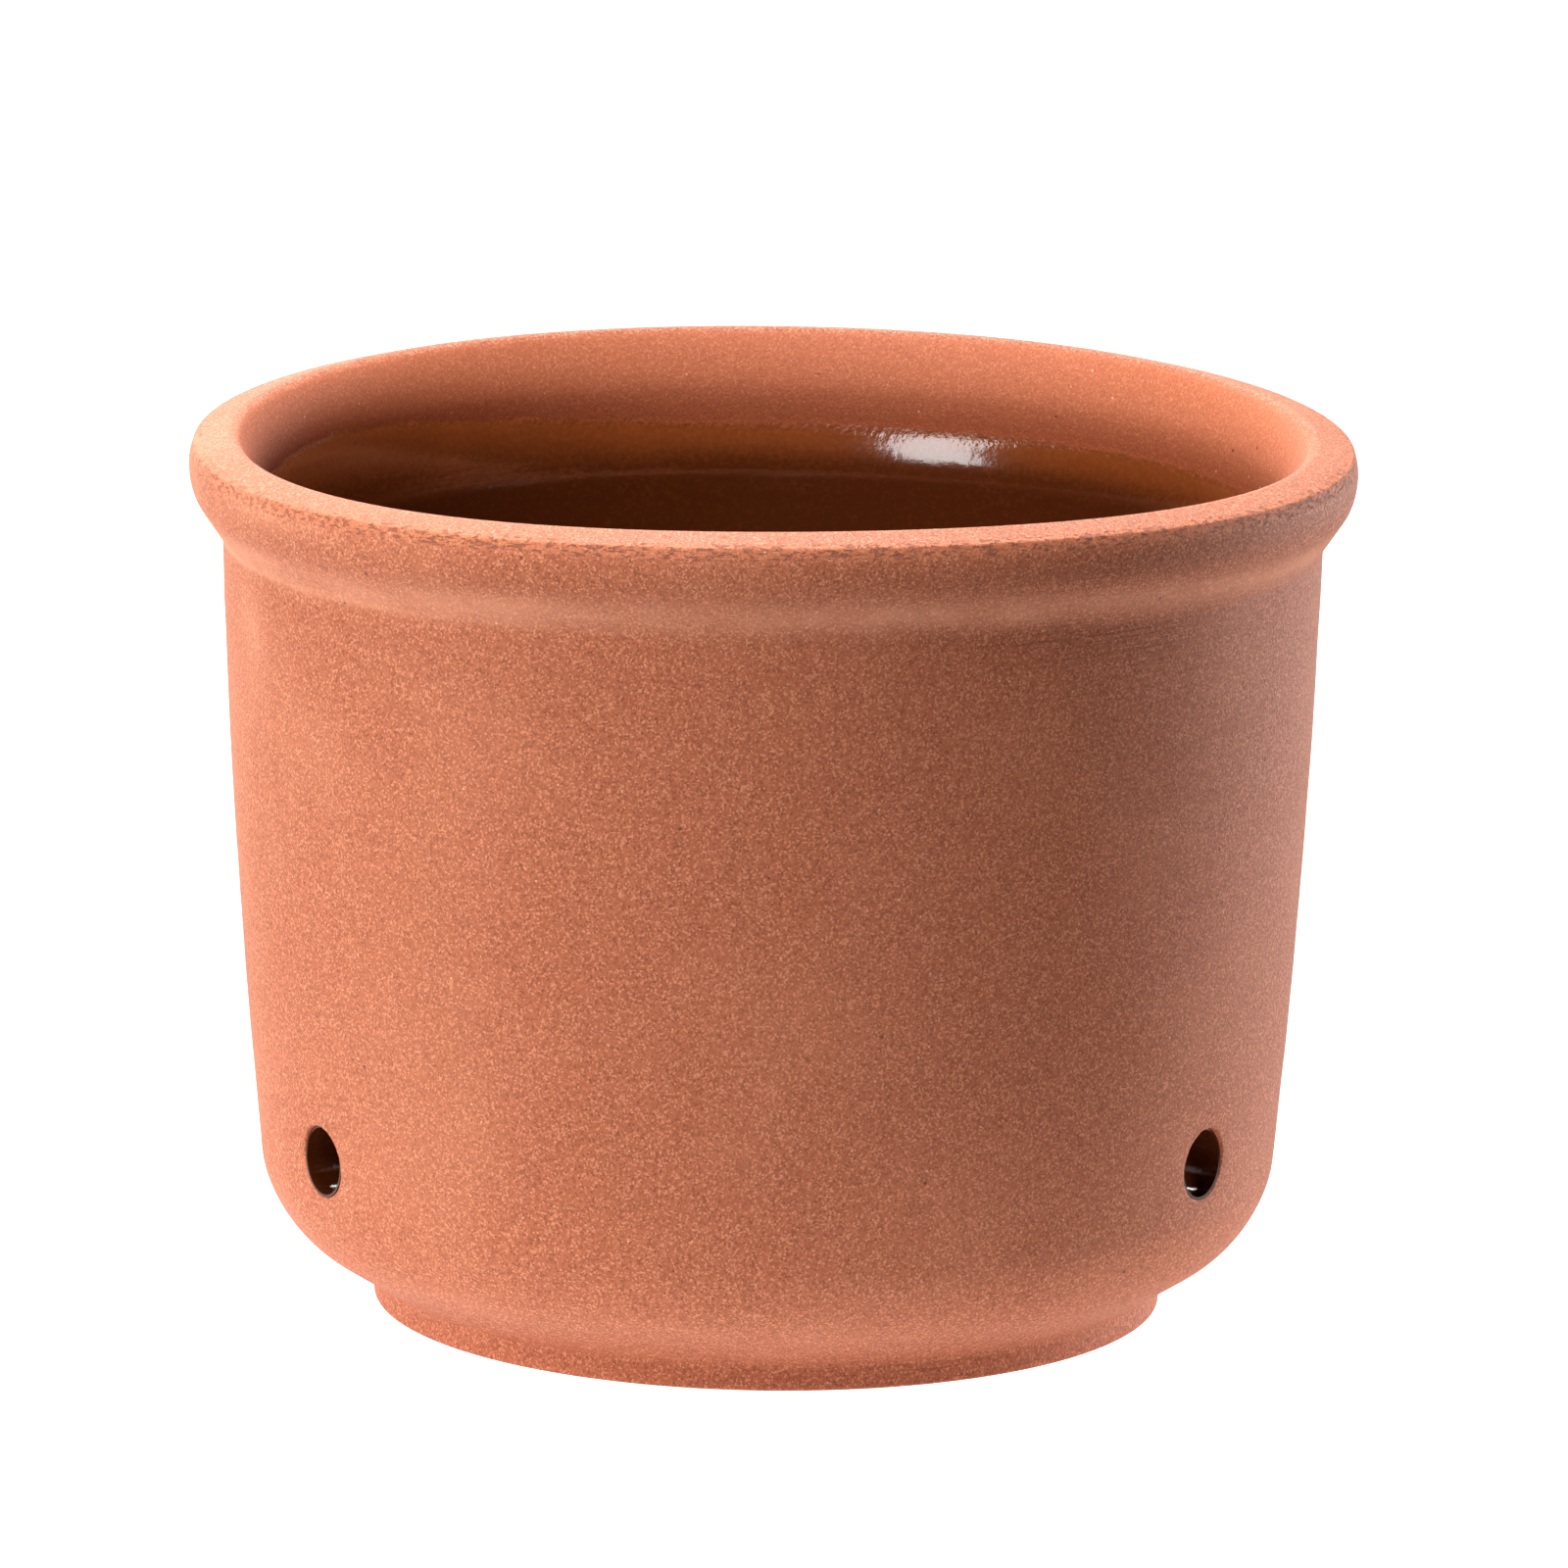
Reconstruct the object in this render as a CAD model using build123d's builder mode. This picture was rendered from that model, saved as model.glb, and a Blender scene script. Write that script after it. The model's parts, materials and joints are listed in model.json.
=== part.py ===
from build123d import *

import math
import os

# Terracotta pot, glazed inside, with three side holes. Millimetres.
# +Z is up and the pot's axis is Z. The origin is on that axis, in the plane that the foot stands on.
# Section points are (radius, height).

# Driving dimensions
foot_r = 61.0           # outside of the foot
foot_in_r = 53.0        # inside edge of the ring that the pot stands on
recess_r, recess_z = 51.4, 3.0  # hollow turned into the underside
crease_z = 3.5          # where the foot meets the turned-in belly
belly = (77.7, 14.7)    # corner of the belly, before it is rounded
bulge = (83.0, 72.3)    # corner that bows the wall out, before it is rounded
neck = (84.75, 121.3)   # under the rim
roll = (90.85, 130.3)   # corner of the rolled rim, before it is rounded
bevel_edge = (89.3, 135.4)      # crisp outer edge of the bevel on top of the rim
lip = (81.6, 137.5)     # where bevel and throat would meet without the rounding
throat = (80.0, 128.0)  # corner of the bare throat, before it is rounded
glaze_line = (79.6, 121.2)      # the throat ends here and the glaze starts
shoulder = (77.5, 117.0)        # foot of the glazed shoulder
floor_corner_r, floor_z = 71.4, 10.0    # inside, where wall and floor would meet
glaze_t = 0.35          # thickness of the fired glaze

# Three holes, set out by eye at about a third of a turn and at about the same height
hole_r = 5.55           # in the bare clay
hole_angles = (90.0, 210.5, 327.4)
hole_heights = (31.0, 30.0, 32.0)
hole_start_r = 60.0     # inside the pot, clear of its wall
hole_end_r = 100.0      # outside the pot
sleeve_end_r = 78.2     # the glaze in a hole stops here, about 1 mm inside the outer face
hole_rounding = 0.45


# The clay's inner face from the glaze line down to the floor's centre
glazed_corners = [glaze_line, shoulder, (floor_corner_r, floor_z), (0, floor_z)]
glazed_roundings = [3.0, 14.0]

# The rest of the clay's outline, from the middle of the underside up over the rim to the glaze line
bare_corners = [
    (0, recess_z),
    (recess_r, recess_z),
    (foot_in_r, 0),
    (foot_r, 0),
    (foot_r, crease_z),
    belly,
    bulge,
    neck,
    roll,
    bevel_edge,
    lip,
    throat,
    glaze_line,
]
bare_roundings = [1.5, 0.8, 0.8, 1.2, 18.0, 1150.0, 3.0, 8.0, 0.4, 3.0, 60.0]


def hole_plane(angle, height, radius):
    """A plane square to a hole's axis, at this radius from the pot's axis."""
    outward = Vector(math.cos(math.radians(angle)), math.sin(math.radians(angle)), 0)
    return Plane(origin=outward * radius + Vector(0, 0, height), z_dir=outward)


hole_planes = [
    hole_plane(angle, height, hole_start_r) for angle, height in zip(hole_angles, hole_heights)
]


# The fired clay: foot, belly, wall, rolled rim, throat and inside, thrown in one piece
with BuildPart() as clay_body:
    with BuildSketch(Plane.XZ):
        with BuildLine():
            bare = FilletPolyline(*bare_corners, radius=bare_roundings)
            glazed = FilletPolyline(*glazed_corners, radius=glazed_roundings)
            Line(glazed @ 1, bare @ 0)
        make_face()
    revolve(axis=Axis.Z)
    for plane in hole_planes:
        with BuildSketch(plane):
            Circle(hole_r)
        extrude(amount=hole_end_r - hole_start_r, mode=Mode.SUBTRACT)
    hole_edges = clay_body.edges().filter_by(GeomType.BSPLINE).sort_by_distance((0, 0, 0))
    fillet(hole_edges[-len(hole_planes) :], radius=hole_rounding)

# The glaze: a glassy coat on shoulder, wall and floor, and a sleeve of it in each hole
with BuildPart() as inner_glaze:
    for plane in hole_planes:
        with BuildSketch(plane):
            Circle(hole_r)
        extrude(amount=sleeve_end_r - hole_start_r)
    with BuildSketch(Plane.XZ):
        with BuildLine():
            glazed = FilletPolyline(*glazed_corners, radius=glazed_roundings)
            Polyline(glazed @ 1, (0, glaze_line[1]), glaze_line)
        make_face()
    revolve(axis=Axis.Z, mode=Mode.SUBTRACT)
    with BuildSketch(Plane.XZ):
        with BuildLine():
            FilletPolyline(*glazed_corners, radius=glazed_roundings)
            offset(amount=glaze_t, side=Side.RIGHT, closed=True)
        make_face()
    revolve(axis=Axis.Z)
    for plane in hole_planes:
        with BuildSketch(plane):
            Circle(hole_r - glaze_t)
        extrude(amount=hole_end_r - hole_start_r, mode=Mode.SUBTRACT)

os.makedirs("parts", exist_ok=True)
clay_body.part.label = "clay_body"
export_step(clay_body.part, "parts/clay_body.step")
inner_glaze.part.label = "inner_glaze"
export_step(inner_glaze.part, "parts/inner_glaze.step")
for piece in (clay_body.part, inner_glaze.part):
    print(piece.label, "volume", round(piece.volume), "size", piece.bounding_box().size)
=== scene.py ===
import bpy
import bmesh
import json
import math
from mathutils import Matrix, Vector, noise
from mathutils.bvhtree import BVHTree


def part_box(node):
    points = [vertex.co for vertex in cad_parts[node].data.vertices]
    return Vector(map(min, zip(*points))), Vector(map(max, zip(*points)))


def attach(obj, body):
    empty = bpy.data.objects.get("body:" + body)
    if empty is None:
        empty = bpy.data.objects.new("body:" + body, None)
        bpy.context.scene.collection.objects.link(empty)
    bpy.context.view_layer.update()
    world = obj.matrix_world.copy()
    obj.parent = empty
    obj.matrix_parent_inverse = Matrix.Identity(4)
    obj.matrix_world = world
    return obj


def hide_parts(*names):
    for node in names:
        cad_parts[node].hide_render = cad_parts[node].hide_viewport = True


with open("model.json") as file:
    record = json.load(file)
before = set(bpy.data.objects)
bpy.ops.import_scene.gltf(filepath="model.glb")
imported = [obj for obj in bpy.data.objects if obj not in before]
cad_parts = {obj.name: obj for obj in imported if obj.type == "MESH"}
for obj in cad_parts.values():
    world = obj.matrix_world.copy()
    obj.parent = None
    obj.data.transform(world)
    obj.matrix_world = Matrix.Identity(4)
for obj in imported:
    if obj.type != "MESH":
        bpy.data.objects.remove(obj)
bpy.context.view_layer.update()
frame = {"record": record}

mm = 0.001
clayLow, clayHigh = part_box("clay_body")
rimRadius = clayHigh[0]
potHeight = clayHigh[2]
neckHeight = potHeight - 15.4 * mm
lineHeight = potHeight - 15.5 * mm       # where the bare throat ends and the glaze starts
shoulderHeight = potHeight - 20.5 * mm   # foot of the glazed shoulder
clearOfWall = 20 * mm                    # to either side of the middle of a bore
holes = [mount for mount in frame["record"]["mounts"] if mount["kind"] == "bore"]


def wireCurve(bm, corners):
    # each corner: radius, height, how far its rounding reaches along both sides, steps in the rounding
    verts = [bm.verts.new((radius, 0, height)) for radius, height, reach, steps in corners]
    for pair in zip(verts, verts[1:]):
        bm.edges.new(pair)
    for vert, (radius, height, reach, steps) in zip(verts, corners):
        if reach:
            bmesh.ops.bevel(bm, geom=[vert], offset=reach, offset_type="OFFSET", segments=steps,
                            profile=0.5, affect="VERTICES", material=-1)


def evenOut(bm, longest):
    # cut every long run of the outline into pieces no longer than this
    for edge in list(bm.edges):
        cuts = math.ceil(edge.calc_length() / longest) - 1
        if cuts > 0:
            bmesh.ops.subdivide_edges(bm, edges=[edge], cuts=cuts)


def turnOnWheel(bm, steps):
    bmesh.ops.spin(bm, geom=bm.verts[:] + bm.edges[:], cent=(0, 0, 0), axis=(0, 0, 1),
                   angle=math.tau, steps=steps, use_merge=True)
    bmesh.ops.remove_doubles(bm, verts=bm.verts, dist=0.01 * mm)
    bmesh.ops.recalc_face_normals(bm, faces=bm.faces)


def holeMatrix(hole):
    # z runs out along the hole, x is level
    outward = Vector(hole["axis"])
    level = Vector((0, 0, 1)).cross(outward)
    up = outward.cross(level)
    matrix = Matrix((level, up, outward)).transposed().to_4x4()
    matrix.translation = Vector(hole["pos_m"])
    return matrix


def cutWindow(bm, matrix, halfWidth, nearest, farthest):
    # take out the faces around a hole between two distances from the pot's axis, and give the edge left
    inverse = matrix.inverted()
    doomed = []
    for face in bm.faces:
        centre = face.calc_center_median()
        local = inverse @ centre
        if abs(local.x) < halfWidth and abs(local.y) < halfWidth and local.z > -clearOfWall:
            if nearest < math.hypot(centre.x, centre.y) < farthest:
                doomed.append(face)
    doomedSet = set(doomed)
    border = [edge for face in doomed for edge in face.edges
              if any(other not in doomedSet for other in edge.link_faces)]
    bmesh.ops.delete(bm, geom=doomed, context="FACES")
    return list(dict.fromkeys(border))


def ringOnWall(bm, matrix, radius, segments, wallTree, fromOutside, ragged):
    # a circle laid on the wall's skin
    circle = bmesh.ops.create_circle(bm, cap_ends=False, segments=segments, radius=radius, matrix=matrix)
    ring = circle["verts"]
    outward = matrix.to_3x3() @ Vector((0, 0, 1))
    side = 1 if fromOutside else -1
    for vert in ring:
        aside = vert.co - matrix.translation
        start = matrix.translation + aside * (1 + ragged * noise.noise(vert.co * 900))
        vert.co = wallTree.ray_cast(start + outward * side * clearOfWall, -outward * side)[0]
    return list({edge for vert in ring for edge in vert.link_edges})


# The rim moved a little in drying and firing. Each line: lobes around the rim, how far it lifts in mm and
# towards which angle, how far it spreads in mm and towards which angle.
warp = {
    "waves": [(2, 0.8, -74, 0.6, 45), (3, 0.4, 36, 0.45, 60)],
    "ridgeDepth": 0.07 * mm,      # soft rings left by the fingers, all the way up the wall
    "ridgeSpacing": 9.0 * mm,
    "wallFrom": 0.72,             # the rings start at this share of the rim's radius
    "wallOver": 5 * mm,           # and reach their full depth over this
}


def settle(bm):
    for vert in bm.verts:
        radius = math.hypot(vert.co.x, vert.co.y)
        if radius < 1 * mm:
            continue
        angle = math.atan2(vert.co.y, vert.co.x)
        spreadShare = min(1, max(0, vert.co.z / neckHeight))
        liftShare = max(0, 2 * spreadShare - 1)
        spread = lift = 0
        for lobes, rise, riseTowards, widen, widenTowards in warp["waves"]:
            lift += rise * mm * math.cos(lobes * (angle - math.radians(riseTowards)))
            spread += widen * mm * math.cos(lobes * (angle - math.radians(widenTowards)))
        ridge = noise.noise(Vector((vert.co.x * 5, vert.co.y * 5, vert.co.z / warp["ridgeSpacing"])))
        wall = min(1, max(0, (radius - rimRadius * warp["wallFrom"]) / warp["wallOver"]))
        factor = 1 + (spread * spreadShare + ridge * warp["ridgeDepth"] * wall) / radius
        vert.co.x *= factor
        vert.co.y *= factor
        vert.co.z += lift * liftShare


def finishPiece(bm, name, nodeName, material, sharpAngle):
    mesh = bpy.data.meshes.new(name)
    bm.to_mesh(mesh)
    bm.free()
    mesh.polygons.foreach_set("use_smooth", [True] * len(mesh.polygons))
    mesh.set_sharp_from_angle(angle=math.radians(sharpAngle))
    mesh.materials.append(material)
    piece = bpy.data.objects.new(name, mesh)
    bpy.context.scene.collection.objects.link(piece)
    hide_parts(nodeName)
    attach(piece, "root")
    return piece


def addNode(tree, kind, inputs=None, **settings):
    node = tree.nodes.new(kind)
    for key, value in settings.items():
        setattr(node, key, value)
    for key, value in (inputs or {}).items():
        if isinstance(value, bpy.types.NodeSocket):
            tree.links.new(value, node.inputs[key])
        else:
            node.inputs[key].default_value = value
    return node


def calc(tree, operation, first, second=0.0):
    return addNode(tree, "ShaderNodeMath", {0: first, 1: second}, operation=operation).outputs[0]


def blendColours(tree, amount, first, second, blendType="MIX"):
    node = addNode(tree, "ShaderNodeMix", {0: amount, 6: first, 7: second}, data_type="RGBA",
                   blend_type=blendType)
    return node.outputs[2]


def ramp(tree, value, low, high, fromLow=0.0, toHigh=1.0):
    node = addNode(tree, "ShaderNodeMapRange", {0: value, 1: low, 2: high, 3: fromLow, 4: toHigh},
                   interpolation_type="SMOOTHSTEP")
    return node.outputs[0]


def stretched(tree, vector, around, up):
    # coordinates stretched differently around the pot and up it
    node = addNode(tree, "ShaderNodeVectorMath", {0: vector, 1: (around, around, up)}, operation="MULTIPLY")
    return node.outputs[0]


def cloud(tree, vector, scale, detail=2.0, roughness=0.5):
    return addNode(tree, "ShaderNodeTexNoise", {"Vector": vector, "Scale": scale, "Detail": detail,
                                                "Roughness": roughness}).outputs[0]


def newGroup(name, inputs, outputs):
    group = bpy.data.node_groups.new(name, "ShaderNodeTree")
    for socketName, kind, value in inputs:
        socket = group.interface.new_socket(socketName, in_out="INPUT", socket_type=kind)
        if value is not None:
            socket.default_value = value
    for socketName, kind in outputs:
        group.interface.new_socket(socketName, in_out="OUTPUT", socket_type=kind)
    return group, group.nodes.new("NodeGroupInput").outputs, group.nodes.new("NodeGroupOutput").inputs


def useGroup(tree, group, inputs):
    return addNode(tree, "ShaderNodeGroup", inputs, node_tree=group).outputs


def sandGroup():
    # sand in the body: a fine grain, single grains each with a shade of its own, pale grains and pinholes
    group, given, out = newGroup(
        "sandInClay",
        [("Vector", "NodeSocketVector", None), ("GrainSize", "NodeSocketFloat", 0.4),
         ("SpeckSpacing", "NodeSocketFloat", 1.6), ("PitSpacing", "NodeSocketFloat", 4.0)],
        [("Grain", "NodeSocketFloat"), ("Shade", "NodeSocketFloat"), ("Specks", "NodeSocketFloat"),
         ("Pits", "NodeSocketFloat")])
    perGrain = calc(group, "DIVIDE", 1000.0, given["GrainSize"])
    grainScale = calc(group, "MULTIPLY", perGrain, 0.7)
    group.links.new(cloud(group, given["Vector"], grainScale, 3.0, 0.75), out["Grain"])
    grains = addNode(group, "ShaderNodeTexVoronoi", {"Vector": given["Vector"], "Scale": perGrain})
    shade = addNode(group, "ShaderNodeSeparateColor", {0: grains.outputs["Color"]})
    group.links.new(shade.outputs[1], out["Shade"])
    for name, spacing, share, inner, outer in (("Specks", "SpeckSpacing", 0.25, 0.07, 0.16),
                                               ("Pits", "PitSpacing", 0.22, 0.04, 0.12)):
        perCell = calc(group, "DIVIDE", 1000.0, given[spacing])
        cells = addNode(group, "ShaderNodeTexVoronoi", {"Vector": given["Vector"], "Scale": perCell})
        lot = addNode(group, "ShaderNodeSeparateColor", {0: cells.outputs["Color"]})
        size = ramp(group, lot.outputs[0], 1 - share, 1.0, 0.3, 1.0)
        near = ramp(group, calc(group, "DIVIDE", cells.outputs["Distance"], size), inner, outer, 1.0, 0.0)
        chosen = calc(group, "GREATER_THAN", lot.outputs[0], 1 - share)
        group.links.new(calc(group, "MULTIPLY", near, chosen), out[name])
    return group


def throwingGroup():
    # level lines left by the fingers and the rib while the pot was turning
    group, given, out = newGroup(
        "throwingLines",
        [("Vector", "NodeSocketVector", None), ("Spacing", "NodeSocketFloat", 1.5)],
        [("Lines", "NodeSocketFloat"), ("Broad", "NodeSocketFloat")])
    perLine = calc(group, "DIVIDE", 1000.0, given["Spacing"])
    along = addNode(group, "ShaderNodeCombineXYZ", {0: 12.0, 1: 12.0, 2: perLine}).outputs[0]
    level = addNode(group, "ShaderNodeVectorMath", {0: given["Vector"], 1: along}, operation="MULTIPLY")
    group.links.new(cloud(group, level.outputs[0], 1.0, 4.0, 0.7), out["Lines"])
    group.links.new(cloud(group, stretched(group, given["Vector"], 3.0, 75.0), 1.0, 1.0), out["Broad"])
    return group


sandInClay = sandGroup()
throwingLines = throwingGroup()


clay = {
    "steps": 336,          # around the pot
    "longest": 2.3 * mm,   # longest side of a face up the wall
    "window": 8.6 * mm,    # half the patch that is taken out and filled again around a hole
    "holeRounding": 0.4 * mm,    # of a hole's outer edge
    "holeGlaze": 0.35 * mm,      # a hole's radius in the clay is larger than in its glaze by this
    "ragged": 0.03,        # how far a hole's edge strays, as a share of its radius
    "marks": ["worn", "throat", "stainAndShade", "scumAndPaintedLight", "turned"],     # attributes that the material reads
    "wornBand": 2.2 * mm,  # height of the rubbed band under the bevel
    "stainAndShadeBand": 11 * mm,  # how far up the throat the stain and the painted shade above the glaze reach
    "throatReach": (11.2 * mm, 7.6 * mm),   # the throat lies between these, in from the rim's radius
    "markReach": 31 * mm,  # scum and turning lines stop this far in from the rim's radius
    # where the scum and the painted light lie: angle, height in mm, half width in degrees, half height in
    # mm, strength. The first two are painted light round the neck, bounce light under the roll and a
    # highlight in the neck's cove, and the last is painted bounce light low on the wall; the rest is scum
    "scumAndPaintedLight": [(-90, 124.3, 1000, 2.4, 0.5), (-155, 121.8, 35, 0.8, 0.5), (-172, 131, 20, 4, 0.25),
             (-178, 90, 14, 60, 0.2), (-160, 110, 4, 8, 0.25), (-150, 133, 9, 2.0, 0.25),
             (-110, 12, 50, 2.5, 0.15)],
    # where turning lines show most: angle, height in mm, half width in degrees, half height in mm, strength
    "turned": [(-35, 119, 40, 9, 1.0), (-50, 130, 40, 4, 0.8), (-60, 4, 90, 4, 0.8), (-20, 80, 30, 40, 0.4),
               (90, 120, 120, 6, 0.5), (-150, 112, 30, 12, 0.3)],
}


terracotta = {
    "body": (0.56, 0.160, 0.070, 1),
    "deep": (0.40, 0.103, 0.042, 1),
    "lightGrain": (0.78, 0.30, 0.16, 1),
    "darkGrain": (0.22, 0.056, 0.025, 1),
    "speck": (0.90, 0.52, 0.35, 1),
    "pit": (0.12, 0.034, 0.016, 1),
    "worn": (0.64, 0.195, 0.083, 1),
    # the bare throat's clay, painted lighter as painted top light
    "throat": (0.66, 0.185, 0.080, 1),
    # the throat's stain towards the glaze, which also carries painted shade
    "stainAndShadeTint": (0.58, 0.42, 0.25, 1),
    # pale scum, also used for painted bounce light and highlight round the neck and low on the wall
    "scumAndPaintedLight": (0.95, 0.42, 0.25, 1),
    "roughness": 0.72,
    "grainDepth": 0.05 * mm,
    # in millimetres: the sand grains, and how far apart pale grains, pinholes and turning lines are
    "grainSize": 0.30,
    "speckSpacing": 1.6,
    "pitSpacing": 3.4,
    "lineSpacing": 0.9,
}


def terracottaMaterial():
    material = bpy.data.materials.new("terracotta")
    material.use_nodes = True
    tree = material.node_tree
    shader = tree.nodes["Principled BSDF"]
    place = addNode(tree, "ShaderNodeTexCoord").outputs["Object"]
    sand = useGroup(tree, sandInClay, {"Vector": place, "GrainSize": terracotta["grainSize"],
                                       "SpeckSpacing": terracotta["speckSpacing"],
                                       "PitSpacing": terracotta["pitSpacing"]})
    thrown = useGroup(tree, throwingLines, {"Vector": place, "Spacing": terracotta["lineSpacing"]})
    worn, throat, stainAndShade, scumAndPaintedLight, turned = (
        addNode(tree, "ShaderNodeAttribute", attribute_name=name).outputs["Fac"] for name in clay["marks"])
    patches = cloud(tree, place, 26.0, 3.0)

    grainShow = ramp(tree, sand["Grain"], 0.32, 0.68)
    colour = blendColours(tree, grainShow, terracotta["deep"], terracotta["body"])
    paleShow = ramp(tree, sand["Shade"], 0.65, 1.0, 0.0, 0.8)
    colour = blendColours(tree, paleShow, colour, terracotta["lightGrain"])
    darkShow = ramp(tree, sand["Shade"], 0.0, 0.3, 0.7, 0.0)
    colour = blendColours(tree, darkShow, colour, terracotta["darkGrain"])
    patchShow = ramp(tree, patches, 0.45, 0.75, 0.0, 0.16)
    colour = blendColours(tree, patchShow, colour, terracotta["lightGrain"])
    lineShow = ramp(tree, thrown["Lines"], 0.5, 0.75)
    lineShow = calc(tree, "MULTIPLY", lineShow, calc(tree, "ADD", turned, 0.15))
    colour = blendColours(tree, calc(tree, "MULTIPLY", lineShow, 0.75), colour, terracotta["deep"])

    # the rubbed band under the bevel is torn along the turning
    torn = cloud(tree, stretched(tree, place, 700.0, 1900.0), 1.0, 3.0, 0.7)
    wornShow = ramp(tree, calc(tree, "ADD", worn, calc(tree, "SUBTRACT", torn, 0.5)), 0.35, 0.75)
    colour = blendColours(tree, calc(tree, "MULTIPLY", wornShow, 0.45), colour, terracotta["worn"])
    tears = calc(tree, "MULTIPLY", ramp(tree, torn, 0.5, 0.62), wornShow)
    colour = blendColours(tree, calc(tree, "MULTIPLY", tears, 0.7), colour, terracotta["darkGrain"])

    # painted light: the bare throat is painted lighter than the wall, for top light the lamps don't bring
    # there
    colour = blendColours(tree, calc(tree, "MULTIPLY", throat, 0.5), colour, terracotta["throat"])
    # the glaze's fumes stained the throat above it, unevenly from grain to grain; the darkening is also
    # painted shade, deepest at the glaze's edge and where the glaze climbs
    grainDrift = calc(tree, "MULTIPLY", calc(tree, "SUBTRACT", sand["Grain"], 0.5), 0.5)
    stainAndShadeShow = ramp(tree, calc(tree, "ADD", stainAndShade, grainDrift), 0.0, 1.0)
    colour = blendColours(tree, stainAndShadeShow, colour, terracotta["stainAndShadeTint"], "MULTIPLY")
    # scum, and painted light: the pale band under the roll and the band low on the wall are painted bounce
    # light, the line in the neck's cove a painted highlight
    cloudy = cloud(tree, stretched(tree, place, 60.0, 110.0), 1.0, 5.0, 0.6)
    scumAndLightShow = calc(tree, "MULTIPLY", scumAndPaintedLight, ramp(tree, cloudy, 0.25, 0.75, 0.35, 1.0))
    colour = blendColours(tree, scumAndLightShow, colour, terracotta["scumAndPaintedLight"])
    colour = blendColours(tree, calc(tree, "MULTIPLY", sand["Specks"], 0.75), colour, terracotta["speck"])
    colour = blendColours(tree, calc(tree, "MULTIPLY", sand["Pits"], 0.85), colour, terracotta["pit"])
    tree.links.new(colour, shader.inputs["Base Color"])

    # hollows between the grains are rougher than the grains
    roughness = terracotta["roughness"]
    rough = ramp(tree, sand["Grain"], 0.3, 0.7, roughness + 0.1, roughness - 0.1)
    tree.links.new(rough, shader.inputs["Roughness"])
    height = calc(tree, "ADD", sand["Grain"], calc(tree, "MULTIPLY", sand["Shade"], 0.35))
    lineDepth = calc(tree, "ADD", calc(tree, "MULTIPLY", turned, 6.0), 0.6)
    lines = calc(tree, "MULTIPLY", thrown["Lines"], lineDepth)
    height = calc(tree, "ADD", height, lines)
    height = calc(tree, "ADD", height, calc(tree, "MULTIPLY", thrown["Broad"], 1.6))
    height = calc(tree, "SUBTRACT", height, calc(tree, "MULTIPLY", sand["Pits"], 3.0))
    height = calc(tree, "SUBTRACT", height, calc(tree, "MULTIPLY", tears, 3.0))
    bump = addNode(tree, "ShaderNodeBump",
                   {"Strength": 1.0, "Distance": terracotta["grainDepth"], "Height": height})
    tree.links.new(bump.outputs[0], shader.inputs["Normal"])
    return material


brownGlaze = {
    "thick": (0.072, 0.0155, 0.0035, 1),
    "thin": (0.23, 0.053, 0.012, 1),
    "speck": (0.03, 0.010, 0.005, 1),
    "edge": (0.30, 0.068, 0.020, 1),
    "roughness": 0.13,
    "edgeRoughness": 0.35,     # added where the coat is thinnest
    "ior": 1.52,
    "orangePeel": 0.07 * mm,
    # in millimetres, as for the clay
    "grainSize": 0.6,
    "pitSpacing": 3.0,
    "lineSpacing": 2.5,
}


def glazeMaterial():
    material = bpy.data.materials.new("brown_glaze")
    material.use_nodes = True
    tree = material.node_tree
    shader = tree.nodes["Principled BSDF"]
    place = addNode(tree, "ShaderNodeTexCoord").outputs["Object"]
    sand = useGroup(tree, sandInClay, {"Vector": place, "GrainSize": brownGlaze["grainSize"],
                                       "PitSpacing": brownGlaze["pitSpacing"]})
    thrown = useGroup(tree, throwingLines, {"Vector": place, "Spacing": brownGlaze["lineSpacing"]})
    thin = addNode(tree, "ShaderNodeAttribute", attribute_name="thin").outputs["Fac"]
    pooling = cloud(tree, place, 90.0, 3.0)
    thinness = calc(tree, "ADD", thin, ramp(tree, pooling, 0.45, 0.8, 0.0, 0.1))
    thinness = calc(tree, "ADD", thinness, ramp(tree, sand["Grain"], 0.35, 0.75, -0.1, 0.15))
    colour = blendColours(tree, thinness, brownGlaze["thick"], brownGlaze["thin"])
    colour = blendColours(tree, calc(tree, "MULTIPLY", sand["Pits"], 0.6), colour, brownGlaze["speck"])
    # at its edge the coat breaks up and the stained clay shows between the grains
    grainDrift = calc(tree, "MULTIPLY", calc(tree, "SUBTRACT", sand["Grain"], 0.5), 0.7)
    broken = ramp(tree, calc(tree, "ADD", thin, grainDrift), 0.8, 0.98)
    colour = blendColours(tree, broken, colour, brownGlaze["edge"])
    tree.links.new(colour, shader.inputs["Base Color"])
    roughness = brownGlaze["roughness"]
    rough = ramp(tree, thin, 0.6, 1.0, roughness, roughness + brownGlaze["edgeRoughness"])
    tree.links.new(rough, shader.inputs["Roughness"])

    # where the coat is thin the sand shows through as a pitted skin
    peel = cloud(tree, place, 700.0, 2.0)
    pitted = calc(tree, "MULTIPLY", cloud(tree, place, 1150.0, 2.0), ramp(tree, thin, 0.5, 0.95, 0.2, 3.2))
    height = calc(tree, "ADD", calc(tree, "MULTIPLY", peel, 0.5), pitted)
    height = calc(tree, "ADD", height, calc(tree, "MULTIPLY", thrown["Lines"], 0.4))
    height = calc(tree, "SUBTRACT", height, calc(tree, "MULTIPLY", sand["Pits"], 0.8))
    bump = addNode(tree, "ShaderNodeBump",
                   {"Strength": 1.0, "Distance": brownGlaze["orangePeel"], "Height": height})
    tree.links.new(bump.outputs[0], shader.inputs["Normal"])
    shader.inputs["IOR"].default_value = brownGlaze["ior"]
    return material


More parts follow.
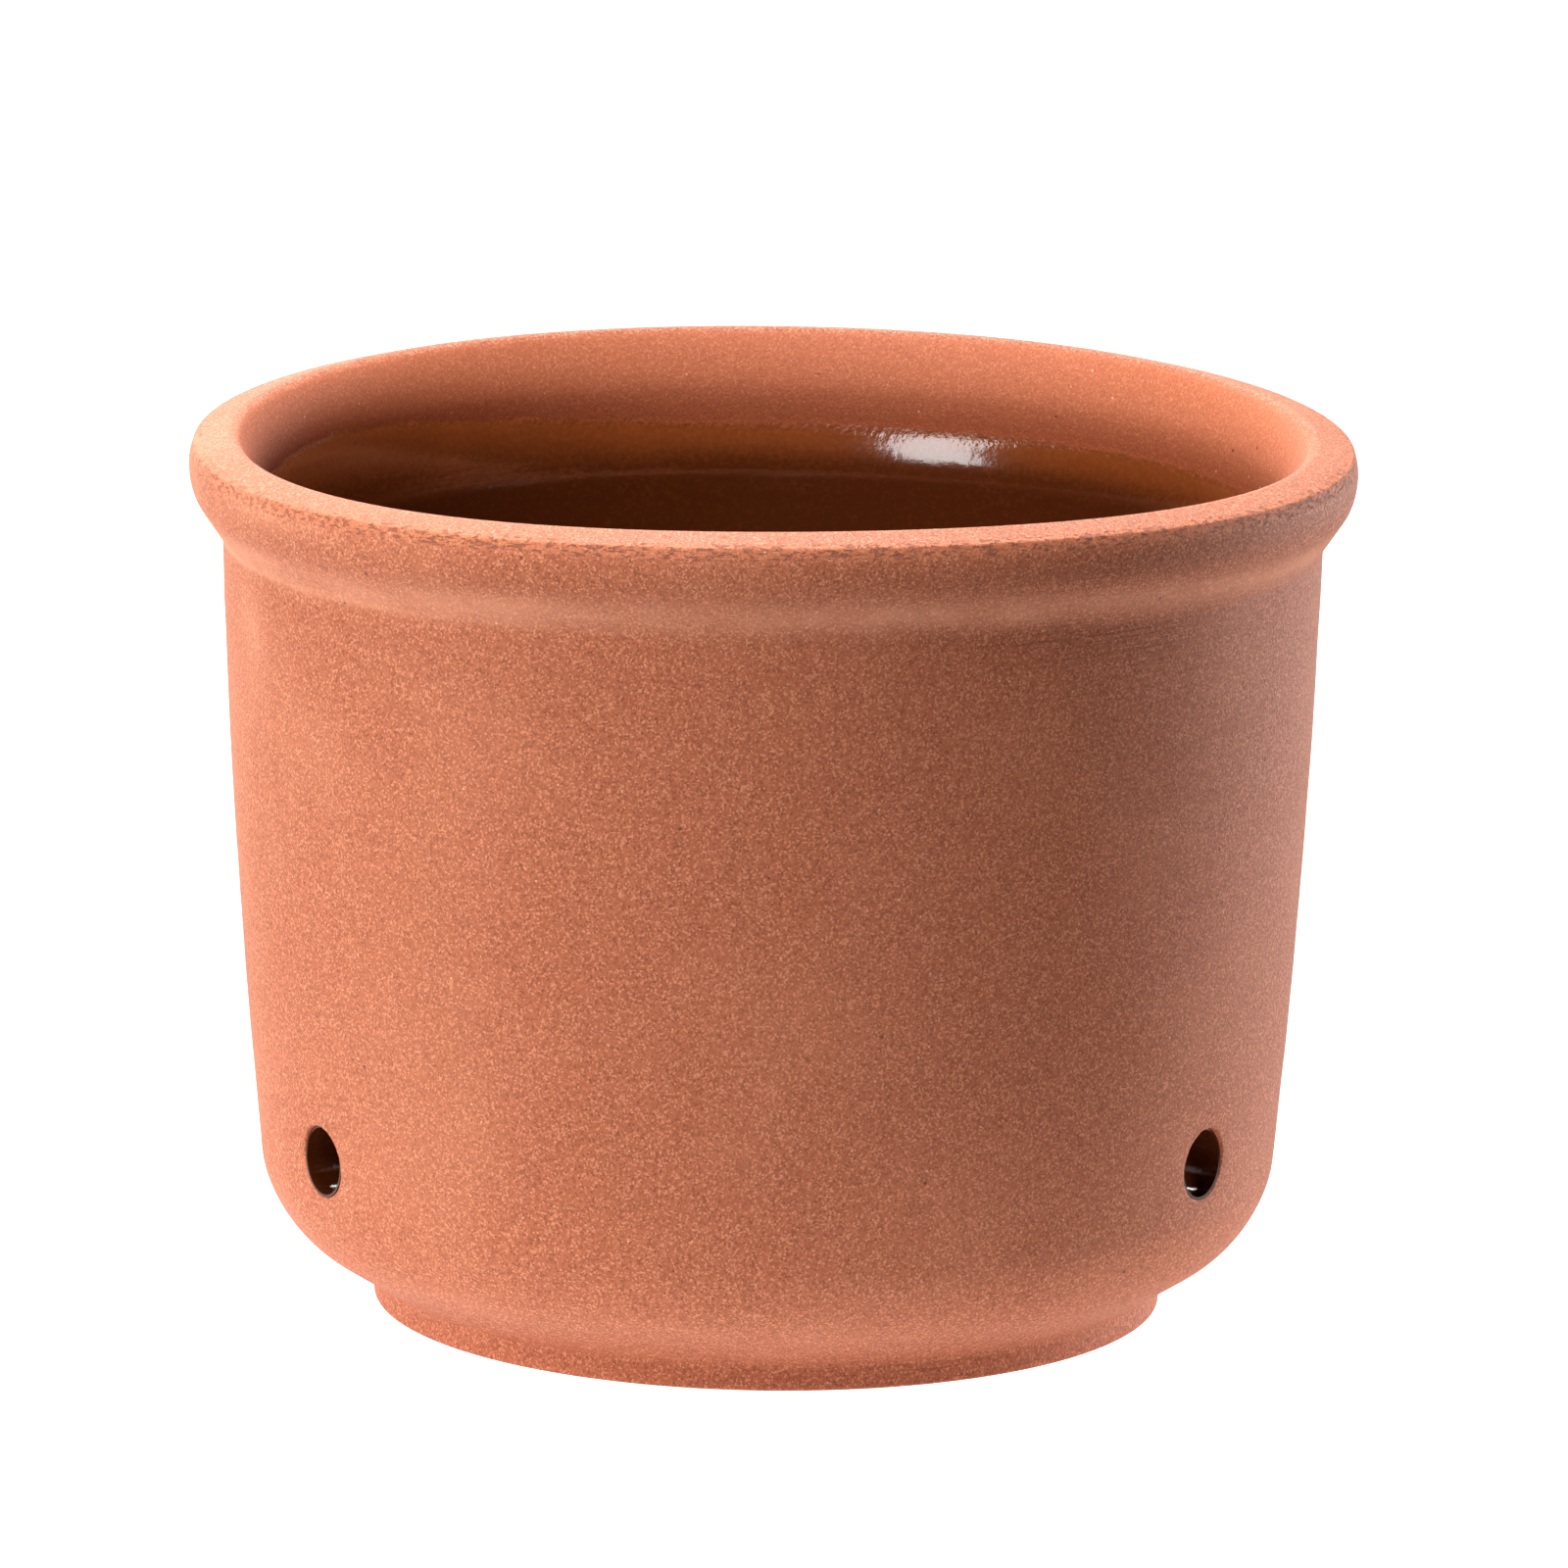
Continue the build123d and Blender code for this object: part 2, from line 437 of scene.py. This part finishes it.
glaze = {
    "thickness": 0.35 * mm,
    "feather": 0.16 * mm,      # how far its top edge sinks into the clay and comes out of it again
    "climb": 5.4 * mm,         # it was poured out over this side, so its edge lies higher there
    "climbTowards": math.radians(155),
    "climbHalfWidth": math.radians(62),
    "thinBand": 7.0 * mm,      # how far down from its edge the coat is thin
    "sleeveEnd": 3.4 * mm,     # the sleeves in the holes end this far out from the middle of the bore
    "sleeveRounding": 0.8 * mm,    # where a sleeve turns in from the wall
    "featherBand": 4 * mm,     # how far down from its edge the feathering reaches
    "climbOver": 4 * mm,       # the climb grows to its full height over this, up from the shoulder's foot
}


def glazeClimb(angle):
    # how much higher than elsewhere the glaze's edge lies in this direction
    turn = math.remainder(angle - glaze["climbTowards"], math.tau)
    if abs(turn) > glaze["climbHalfWidth"]:
        return 0
    return glaze["climb"] * (0.5 + 0.5 * math.cos(math.pi * turn / glaze["climbHalfWidth"]))


def clayOutline():
    r, h = rimRadius, potHeight
    return [
        (0, 3.0 * mm, 0, 0),
        (r - 38.7 * mm, 3.0 * mm, 1.0 * mm, 3),
        (r - 37.1 * mm, 0, 0.6 * mm, 3),
        (r - 29.1 * mm, 0, 0.7 * mm, 4),
        (r - 29.1 * mm, 4.1 * mm, 0.8 * mm, 4),
        (r - 12.4 * mm, 14.7 * mm, 8.6 * mm, 14),
        (r - 7.1 * mm, 72.3 * mm, 32.0 * mm, 10),
        (r - 5.35 * mm, neckHeight, 1.2 * mm, 5),
        (r + 0.75 * mm, h - 6.4 * mm, 4.0 * mm, 12),
        (r - 0.8 * mm, h - 1.3 * mm, 0.3 * mm, 3),
        (r - 7.3 * mm, h + 0.45 * mm, 1.5 * mm, 7),
        (r - 10.6 * mm, h - 5.3 * mm, 4.8 * mm, 10),
        (r - 10.5 * mm, lineHeight, 0.5 * mm, 2),
        (r - 12.9 * mm, shoulderHeight, 2.4 * mm, 5),
        (r - 18.7 * mm, 10.0 * mm, 13.0 * mm, 12),
        (0, 10.0 * mm, 0, 0),
    ]


def patchStrength(patches, angle, height):
    # soft patches on the wall, from the lists in the clay's dictionary
    total = 0
    for patchAngle, patchHeight, halfWidth, halfHeight, strength in patches:
        turn = math.degrees(math.remainder(angle - math.radians(patchAngle), math.tau)) / halfWidth
        rise = (height / mm - patchHeight) / halfHeight
        total += strength * math.exp(-turn * turn - rise * rise)
    return min(1, total)


def markClay(bm):
    wornLayer, throatLayer, stainAndShadeLayer, scumAndLightLayer, turnedLayer = (bm.verts.layers.float.new(name)
                                                                  for name in clay["marks"])
    edgeHeight = potHeight - 1.3 * mm
    deepest, shallowest = clay["throatReach"]
    for vert in bm.verts:
        radius = math.hypot(vert.co.x, vert.co.y)
        angle = math.atan2(vert.co.y, vert.co.x)
        height = vert.co.z
        if radius > rimRadius - 3 * mm and height > neckHeight:
            below = (edgeHeight - height) / clay["wornBand"]
            vert[wornLayer] = max(0, 1 - below ** 4) if below > -0.08 else 0
        onThroat = rimRadius - deepest < radius < rimRadius - shallowest and height > lineHeight - 1 * mm
        if onThroat:
            vert[throatLayer] = 1
            # the stain above the glaze, and the painted shade with it, fade up the throat
            above = (height - lineHeight - glazeClimb(angle)) / clay["stainAndShadeBand"]
            vert[stainAndShadeLayer] = min(1, max(0, 1 - above) ** 1.3)
        if radius > rimRadius - clay["markReach"] and not onThroat:
            # scum patches, with painted light round the neck and low on the wall
            vert[scumAndLightLayer] = patchStrength(clay["scumAndPaintedLight"], angle, height)
            vert[turnedLayer] = patchStrength(clay["turned"], angle, height)


def makeClay(material):
    bm = bmesh.new()
    wireCurve(bm, clayOutline())
    evenOut(bm, clay["longest"])
    turnOnWheel(bm, clay["steps"])
    wallTree = BVHTree.FromBMesh(bm)
    middle = rimRadius - 14.2 * mm
    for hole in holes:
        matrix = holeMatrix(hole)
        radius = hole["dims"]["r_mm"] * mm + clay["holeGlaze"]
        outerWindow = cutWindow(bm, matrix, clay["window"], middle, rimRadius)
        innerWindow = cutWindow(bm, matrix, clay["window"], 0, middle)
        count = len(outerWindow)
        outerRing = ringOnWall(bm, matrix, radius, count, wallTree, True, clay["ragged"])
        innerRing = ringOnWall(bm, matrix, radius, count, wallTree, False, 0)
        bmesh.ops.bridge_loops(bm, edges=outerWindow + outerRing)
        bmesh.ops.bridge_loops(bm, edges=outerRing + innerRing)
        bmesh.ops.bridge_loops(bm, edges=innerRing + innerWindow)
        bmesh.ops.bevel(bm, geom=outerRing, offset=clay["holeRounding"], offset_type="OFFSET", segments=4,
                        profile=0.5, affect="EDGES", material=-1)
        print("  cut", hole["name"])
    bmesh.ops.recalc_face_normals(bm, faces=bm.faces)
    markClay(bm)
    settle(bm)
    return finishPiece(bm, "clay_pot", "clay_body", material, 35)


def glazeOutline():
    r, h, skin = rimRadius, potHeight, glaze["thickness"]
    return [
        (r - 10.3 * mm, h - 13.9 * mm, 0, 0),
        (r - 10.6 * mm - 0.3 * skin, h - 15.6 * mm, 0.6 * mm, 3),
        (r - 12.9 * mm - skin, shoulderHeight, 2.6 * mm, 6),
        (r - 18.7 * mm - skin, 10.0 * mm + skin, 12.7 * mm, 12),
        (0, 10.0 * mm + skin, 0, 0),
    ]


def makeGlaze(material):
    bm = bmesh.new()
    wireCurve(bm, glazeOutline())
    evenOut(bm, clay["longest"])
    turnOnWheel(bm, clay["steps"])
    wallTree = BVHTree.FromBMesh(bm)
    for hole in holes:
        matrix = holeMatrix(hole)
        outward = Vector(hole["axis"])
        window = cutWindow(bm, matrix, clay["window"], 0, rimRadius)
        ring = ringOnWall(bm, matrix, hole["dims"]["r_mm"] * mm, len(window), wallTree, False, 0)
        bmesh.ops.bridge_loops(bm, edges=ring + window)
        sleeve = bmesh.ops.extrude_edge_only(bm, edges=ring)["geom"]
        for vert in (item for item in sleeve if isinstance(item, bmesh.types.BMVert)):
            along = (vert.co - matrix.translation).dot(outward)
            vert.co += outward * (glaze["sleeveEnd"] - along)
        bmesh.ops.bevel(bm, geom=ring, offset=glaze["sleeveRounding"], offset_type="OFFSET", segments=4,
                        profile=0.5, affect="EDGES", material=-1)
    bmesh.ops.recalc_face_normals(bm, faces=bm.faces)
    floorFace = min(bm.faces, key=lambda face: face.calc_center_median().xy.length)
    if floorFace.normal.z < 0:
        bmesh.ops.reverse_faces(bm, faces=bm.faces)
    bmesh.ops.solidify(bm, geom=bm.faces[:], thickness=glaze["thickness"])
    bmesh.ops.recalc_face_normals(bm, faces=bm.faces)

    thinLayer = bm.verts.layers.float.new("thin")
    top = max(vert.co.z for vert in bm.verts)
    for vert in bm.verts:
        vert[thinLayer] = max(0, 1 - (top - vert.co.z) / glaze["thinBand"])
        nearTop = max(0, 1 - (top - vert.co.z) / glaze["featherBand"])
        ring = Vector((vert.co.x, vert.co.y, 0)).normalized()
        drift = noise.noise(ring * 7) + 0.6 * noise.noise(ring * 29) + 0.5 * noise.noise(ring * 90)
        vert.co -= ring * nearTop * drift * glaze["feather"]
        climb = glazeClimb(math.atan2(vert.co.y, vert.co.x))
        vert.co.z += climb * min(1, max(0, (vert.co.z - shoulderHeight) / glaze["climbOver"]))
    settle(bm)
    return finishPiece(bm, "glaze_coat", "inner_glaze", material, 50)


# distance from the pot's axis and height above the floor in metres, lens in millimetres
camera = {
    "distance": 2.3664,
    "height": 0.6042,
    "yaw": math.radians(0.042),
    "pitch": math.radians(12.465),
    "roll": math.radians(0.760),
    "lens": 360,
}

# azimuth runs from the camera's side towards the right, both angles in degrees; size and distance in
# metres; power in watts; a soft lamp lights the pot but isn't mirrored in it
lamps = {
    "softbox": {"azimuth": -40, "elevation": 42, "distance": 1.1,
                "width": 0.36, "height": 0.44, "power": 6.0},
    "leftStrip": {"azimuth": -75, "elevation": 3, "distance": 1.3,
                  "width": 0.5, "height": 0.25, "power": 6.0, "soft": True},
    "leftSideStrip": {"azimuth": -100, "elevation": 4, "distance": 1.3,
                      "width": 0.5, "height": 0.25, "power": 5.0},
    "leftBackPanel": {"azimuth": -138, "elevation": 12, "distance": 1.3,
                      "width": 1.1, "height": 0.6, "power": 9.0, "soft": True},
    "backPanel": {"azimuth": -160, "elevation": 12, "distance": 1.3,
                  "width": 0.6, "height": 0.6, "power": 5.0},
    "rightBackStrip": {"azimuth": 125, "elevation": 3, "distance": 1.3,
                       "width": 0.5, "height": 0.25, "power": 12.0},
    "backTop": {"azimuth": 180, "elevation": 45, "distance": 1.3,
                "width": 0.6, "height": 0.6, "power": 15.0},
    "overhead": {"azimuth": -40, "elevation": 80, "distance": 0.6,
                 "width": 0.3, "height": 0.3, "power": 4.0},
}
# the pot stands on paper over a lit opal sheet, brightest under the pot and dark further out
room = {
    "light": 0.0,          # the room itself is dark
    "paper": (0.5, 0.5, 0.5, 1),
    "burntOut": 0.6,
    "sheetGlow": 0.88,
    "glowRadius": 0.10,    # metres
    "glowEdge": 0.15,
}


def placeCamera():
    data = bpy.data.cameras.new("camera")
    data.lens = camera["lens"]
    data.sensor_width = 36
    data.clip_start = 0.1
    data.clip_end = 50
    eye = bpy.data.objects.new("camera", data)
    eye.matrix_world = (Matrix.Translation((0, -camera["distance"], camera["height"]))
                        @ Matrix.Rotation(-camera["yaw"], 4, "Z")
                        @ Matrix.Rotation(math.pi / 2 - camera["pitch"], 4, "X")
                        @ Matrix.Rotation(camera["roll"], 4, "Z"))
    bpy.context.scene.collection.objects.link(eye)
    bpy.context.scene.camera = eye


def placeLamps():
    target = Vector((0, 0, potHeight * 0.5))
    for name, lamp in lamps.items():
        azimuth, elevation = math.radians(lamp["azimuth"]), math.radians(lamp["elevation"])
        towards = Vector((math.sin(azimuth) * math.cos(elevation), -math.cos(azimuth) * math.cos(elevation),
                          math.sin(elevation)))
        data = bpy.data.lights.new(name, "AREA")
        data.shape = "RECTANGLE"
        data.size = lamp["width"]
        data.size_y = lamp["height"]
        data.energy = lamp["power"]
        light = bpy.data.objects.new(name, data)
        light.location = target + towards * lamp["distance"]
        light.rotation_euler = towards.to_track_quat("Z", "Y").to_euler()
        light.visible_camera = False
        light.visible_glossy = not lamp.get("soft", False)
        bpy.context.scene.collection.objects.link(light)


def layFloor():
    bm = bmesh.new()
    bmesh.ops.create_grid(bm, x_segments=1, y_segments=1, size=6)
    mesh = bpy.data.meshes.new("floor")
    bm.to_mesh(mesh)
    bm.free()
    material = bpy.data.materials.new("white_paper")
    material.use_nodes = True
    tree = material.node_tree
    shader = tree.nodes["Principled BSDF"]
    shader.inputs["Base Color"].default_value = room["paper"]
    shader.inputs["Roughness"].default_value = 0.9
    shader.inputs["Specular IOR Level"].default_value = 0.1
    place = addNode(tree, "ShaderNodeTexCoord").outputs["Object"]
    away = addNode(tree, "ShaderNodeVectorMath", {0: place}, operation="LENGTH").outputs["Value"]
    glow = ramp(tree, away, room["glowRadius"], room["glowEdge"], room["sheetGlow"], 0.0)
    # the camera sees the paper burnt out to white, but it lights the pot no more than paper would
    seen = addNode(tree, "ShaderNodeLightPath").outputs["Is Camera Ray"]
    strength = calc(tree, "ADD", glow, calc(tree, "MULTIPLY", seen, room["burntOut"]))
    tree.links.new(strength, shader.inputs["Emission Strength"])
    shader.inputs["Emission Color"].default_value = (1, 1, 1, 1)
    mesh.materials.append(material)
    floor = bpy.data.objects.new("floor", mesh)
    bpy.context.scene.collection.objects.link(floor)


def lightRoom():
    world = bpy.data.worlds.new("room")
    bpy.context.scene.world = world
    world.use_nodes = True
    background = world.node_tree.nodes["Background"]
    background.inputs["Color"].default_value = (1, 1, 1, 1)
    background.inputs["Strength"].default_value = room["light"]


bpy.context.scene.view_settings.view_transform = "Standard"

print("turning the clay")
makeClay(terracottaMaterial())
print("coating the inside")
makeGlaze(glazeMaterial())
print("setting up the studio")
placeCamera()
placeLamps()
layFloor()
lightRoom()
